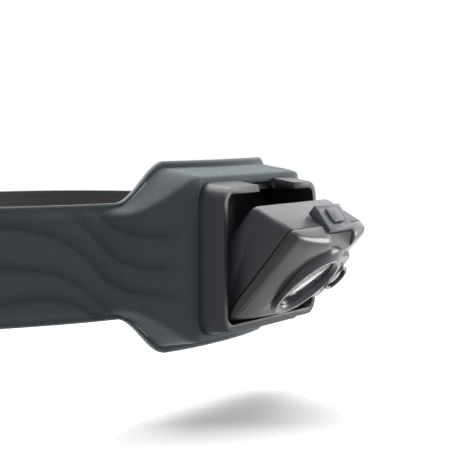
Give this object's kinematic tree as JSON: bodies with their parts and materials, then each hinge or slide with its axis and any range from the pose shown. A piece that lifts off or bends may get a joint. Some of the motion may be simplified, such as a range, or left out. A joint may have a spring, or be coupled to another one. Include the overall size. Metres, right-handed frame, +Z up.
{
  "type": "headlamp",
  "caption": "Headlamp with a wide moulded fabric headband, a rectangular front frame and a lamp body that tilts forward out of it, with a spot beam and a small flood pod.",
  "frame": {"origin": "point of the forehead pad that rests on the middle of the forehead", "axes": "+Z up, the lamp faces -Y, +X is the wearer's left"},
  "size_m": [0.2164, 0.215, 0.0604],
  "materials": {
    "dark_plastic": "fine matt moulded",
    "housing_plastic": "fine matt moulded",
    "tab_plastic": "satin",
    "bezel_plastic": "semi-gloss",
    "smoked_clear": "smoked, gloss",
    "clear": "clear gloss",
    "chrome": "mirror",
    "rubber": "matt",
    "fabric": "ribbed knit",
    "webbing": "woven elastic",
    "foam": "soft mesh over foam",
    "steel": "zinc plated",
    "aluminium": "machined",
    "board": "solder mask",
    "cell_foil": "foil pouch",
    "phosphor": "LED phosphor",
    "wire": "insulated wire"
  },
  "bodies": {
    "headband": {"front_frame": "dark_plastic", "rear_cup": "dark_plastic", "frame_screw_1": "steel", "frame_screw_2": "steel", "frame_screw_3": "steel", "frame_screw_4": "steel", "headband_panel": "fabric", "forehead_pad": "foam", "rear_strap": "webbing", "side_ring_right": "dark_plastic", "side_ring_left": "dark_plastic", "hinge_pin_right": "steel", "hinge_pin_left": "steel", "detent_spring": "steel"},
    "lamp": {"lamp_housing": "housing_plastic", "lens_cover": "smoked_clear", "cover_seal": "rubber", "light_tray": "dark_plastic", "spot_bezel": "bezel_plastic", "spot_window": "clear", "spot_reflector": "chrome", "spot_led": "phosphor", "spot_led_dome": "clear", "spot_heat_sink": "aluminium", "pod_bezel": "bezel_plastic", "pod_lens": "smoked_clear", "pod_led": "phosphor", "status_led": "phosphor", "main_board": "board", "battery_cell": "cell_foil", "battery_lead_right": "wire", "battery_lead_left": "wire", "usb_socket": "steel", "lamp_screw_1": "steel", "lamp_screw_2": "steel", "lamp_screw_3": "steel", "lamp_screw_4": "steel", "detent_sector": "steel", "button_tab": "tab_plastic", "dome_switch": "steel"},
    "power_button": {"power_button": "tab_plastic"},
    "port_cover": {"port_cover": "rubber"},
    "slider_right": {"strap_slider_right": "dark_plastic"},
    "slider_left": {"strap_slider_left": "dark_plastic"}
  },
  "joints": [
    {"name": "lamp_tilt", "type": "hinge", "parent": "headband", "child": "lamp", "pos_m": [0, -0.0243, -0.017], "axis": [1, 0, 0], "range_deg": [-39.53, 0]},
    {"name": "power_button_press", "type": "slide", "parent": "lamp", "child": "power_button", "axis": [0, 0.8032, -0.5957], "range_m": [0, 0.00025], "stiffness_N_per_m": 1500},
    {"name": "port_cover_swing", "type": "hinge", "parent": "lamp", "child": "port_cover", "pos_m": [0.0259, -0.03736, -0.00056], "axis": [0, 0.6365, -0.7713], "range_deg": [0, 110]},
    {"name": "strap_slide_right", "type": "slide", "parent": "headband", "child": "slider_right", "axis": [0, 1, 0], "range_m": [-0.009, 0.009]},
    {"name": "strap_slide_left", "type": "slide", "parent": "headband", "child": "slider_left", "axis": [0, 1, 0], "range_m": [-0.009, 0.009]}
  ]
}
